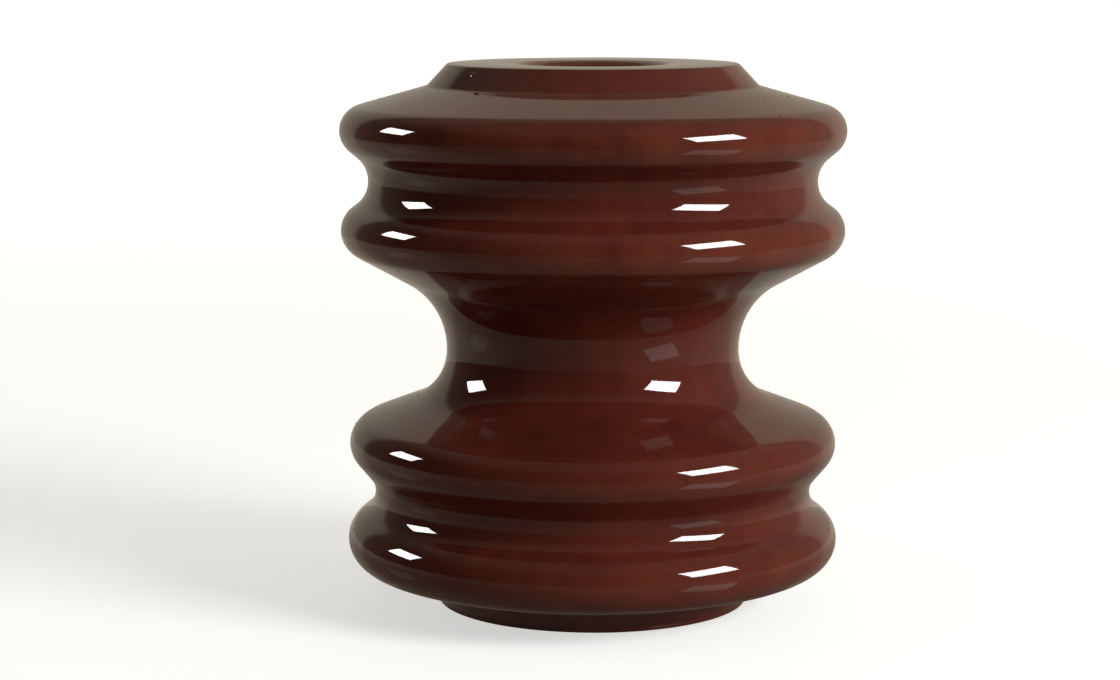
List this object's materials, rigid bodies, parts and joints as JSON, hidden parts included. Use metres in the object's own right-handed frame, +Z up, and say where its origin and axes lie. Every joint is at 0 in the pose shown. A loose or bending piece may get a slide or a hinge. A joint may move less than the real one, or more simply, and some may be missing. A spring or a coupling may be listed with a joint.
{
  "type": "fence insulator",
  "caption": "Brown-glazed porcelain spool insulator with a central bolt bore and ribbed sheds above and below the waist that holds a fence wire.",
  "frame": {"origin": "centre of the bottom bearing face, on the axis of the bore", "axes": "+Z up along the bore; the spool is round about Z, so X and Y are free"},
  "size_m": [0.08, 0.08, 0.0858],
  "materials": {
    "porcelain": "matt unglazed fired clay, off-white, seen in the bore and on the foot",
    "brown_glaze": "glossy dark red-brown glaze, slightly wavy"
  },
  "bodies": {
    "root": {"porcelain_body": "porcelain", "glaze_coat": "brown_glaze"}
  },
  "joints": []
}
